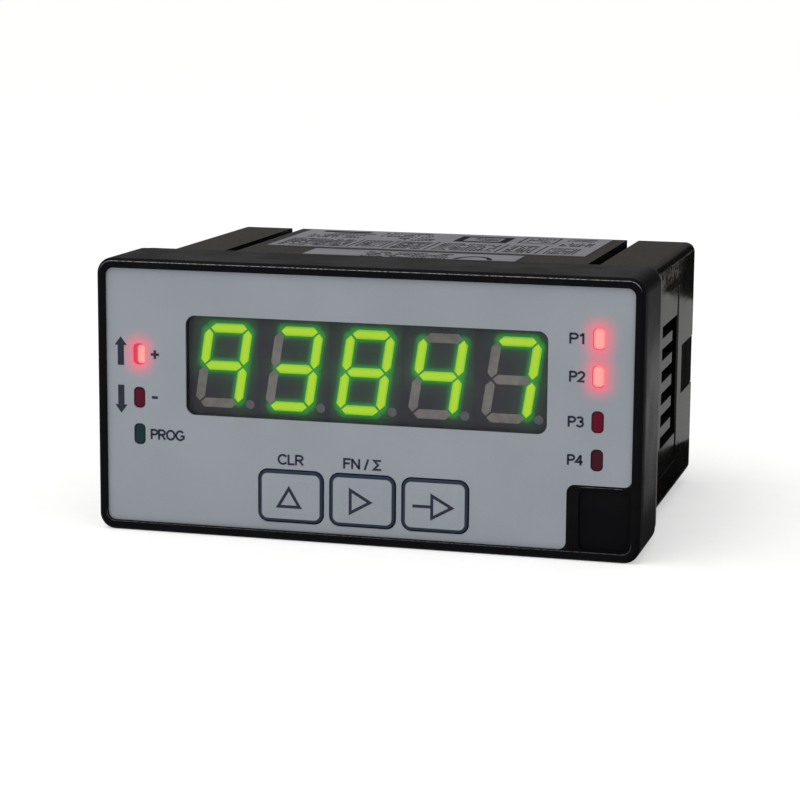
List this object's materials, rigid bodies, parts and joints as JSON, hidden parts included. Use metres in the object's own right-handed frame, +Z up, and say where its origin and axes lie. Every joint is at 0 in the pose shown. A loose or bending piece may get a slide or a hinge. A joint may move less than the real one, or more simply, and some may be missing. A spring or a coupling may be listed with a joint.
{
  "type": "digital counter",
  "caption": "Panel-mounted digital counter with lit figures behind a tinted window, indicator lights, push keys and a slotted black case with rear screw terminals.",
  "frame": {"origin": "centre of the plane where the gasket seats on the panel", "axes": "+X to the right seen from the front, +Y from the front to the rear through the panel, +Z up"},
  "size_m": [0.096, 0.077, 0.048],
  "materials": {
    "bezel_plastic": "fine satin moulded black plastic",
    "case_plastic": "smooth moulded black plastic",
    "rubber": "matte black rubber",
    "overlay_film": "fine matte grey film",
    "key_film": "fine matte grey film with a dark border",
    "tinted_lens": "smooth tinted clear plastic",
    "digit_face": "dark slate face",
    "lit_green": "glowing yellow-green light window",
    "unlit_window": "unlit grey light window",
    "lit_red": "glowing red lens",
    "dark_red": "unlit dark red lens",
    "dark_green": "unlit dark green lens",
    "black_part": "black moulded part",
    "circuit_board": "green lacquered board",
    "core_steel": "stacked steel sheets",
    "winding_tape": "yellow winding tape",
    "capacitor_sleeve": "dark blue sleeve",
    "relay_case": "blue relay case",
    "terminal_plastic": "green moulded terminal block",
    "screw_steel": "plated steel",
    "label_silver": "silver foil label"
  },
  "bodies": {
    "counter": {"front_bezel": "bezel_plastic", "case": "case_plastic", "panel_gasket": "rubber", "front_overlay": "overlay_film", "display_window": "tinted_lens", "digit_1": "digit_face", "digit_2": "digit_face", "digit_3": "digit_face", "digit_4": "digit_face", "digit_5": "digit_face", "lit_segments": "lit_green", "unlit_segments": "unlit_window", "light_up": "lit_red", "light_1": "lit_red", "light_2": "lit_red", "light_down": "dark_red", "light_3": "dark_red", "light_4": "dark_red", "light_program": "dark_green", "switch_up": "black_part", "switch_shift": "black_part", "switch_enter": "black_part", "rear_cover": "black_part", "display_link": "black_part", "relay_link": "black_part", "processor": "black_part", "display_board": "circuit_board", "main_board": "circuit_board", "relay_board": "circuit_board", "transformer_core": "core_steel", "transformer_winding": "winding_tape", "smoothing_capacitor": "capacitor_sleeve", "filter_capacitor": "capacitor_sleeve", "relay_1": "relay_case", "relay_2": "relay_case", "relay_3": "relay_case", "relay_4": "relay_case", "supply_terminals": "terminal_plastic", "input_terminals": "terminal_plastic", "relay_terminals": "terminal_plastic", "terminal_screws": "screw_steel", "rating_label": "label_silver", "wiring_label": "label_silver"},
    "key_up": {"key_up": "key_film", "stem_up": "black_part"},
    "key_shift": {"key_shift": "key_film", "stem_shift": "black_part"},
    "key_enter": {"key_enter": "key_film", "stem_enter": "black_part"}
  },
  "joints": [
    {"name": "press_up", "type": "slide", "parent": "counter", "child": "key_up", "axis": [0, 1, 0], "range_m": [0, 0.0005], "stiffness_N_per_m": 600},
    {"name": "press_shift", "type": "slide", "parent": "counter", "child": "key_shift", "axis": [0, 1, 0], "range_m": [0, 0.0005], "stiffness_N_per_m": 600},
    {"name": "press_enter", "type": "slide", "parent": "counter", "child": "key_enter", "axis": [0, 1, 0], "range_m": [0, 0.0005], "stiffness_N_per_m": 600}
  ]
}
